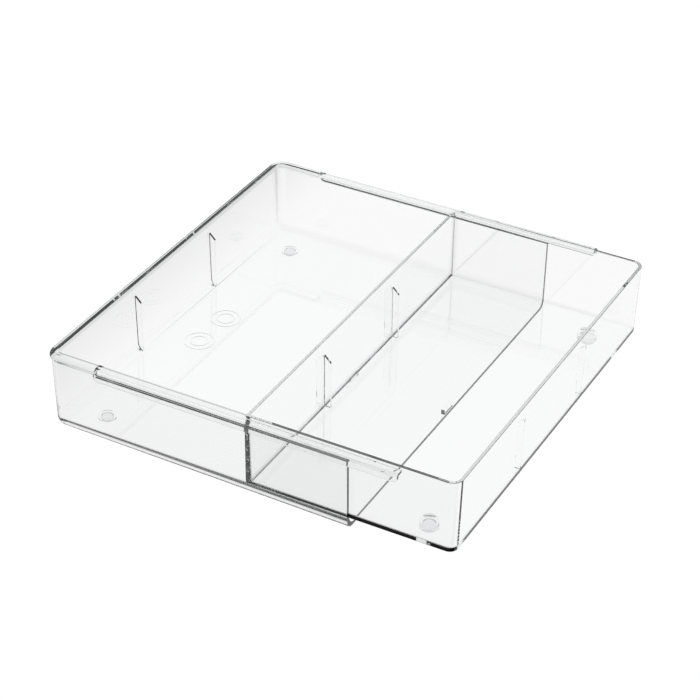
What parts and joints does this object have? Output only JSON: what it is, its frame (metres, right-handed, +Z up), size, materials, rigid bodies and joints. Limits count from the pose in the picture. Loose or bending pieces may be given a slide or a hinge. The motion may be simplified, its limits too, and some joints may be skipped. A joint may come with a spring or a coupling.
{
  "type": "drawer organizer insert",
  "caption": "Expandable clear plastic drawer tray: an inner tray with side rails slides out of an open-ended outer tray to widen the insert.",
  "frame": {"origin": "centre of the closed insert's footprint, on the surface it stands on", "axes": "+X the way the inner tray slides out, +Y towards the rear wall, +Z up"},
  "size_m": [0.2764, 0.2838, 0.0571],
  "materials": {
    "outer_tray_clear": "clear, polished injection moulding",
    "inner_tray_clear": "clear, polished injection moulding",
    "foot_clear": "soft clear bumper, satin"
  },
  "bodies": {
    "outer_body": {"outer_tray": "outer_tray_clear", "foot_outer_front": "foot_clear", "foot_outer_rear": "foot_clear"},
    "inner_body": {"inner_tray": "inner_tray_clear", "foot_inner_front": "foot_clear", "foot_inner_rear": "foot_clear"}
  },
  "joints": [
    {"name": "tray_slide", "type": "slide", "parent": "outer_body", "child": "inner_body", "axis": [1, 0, 0], "range_m": [0, 0.0635]}
  ]
}
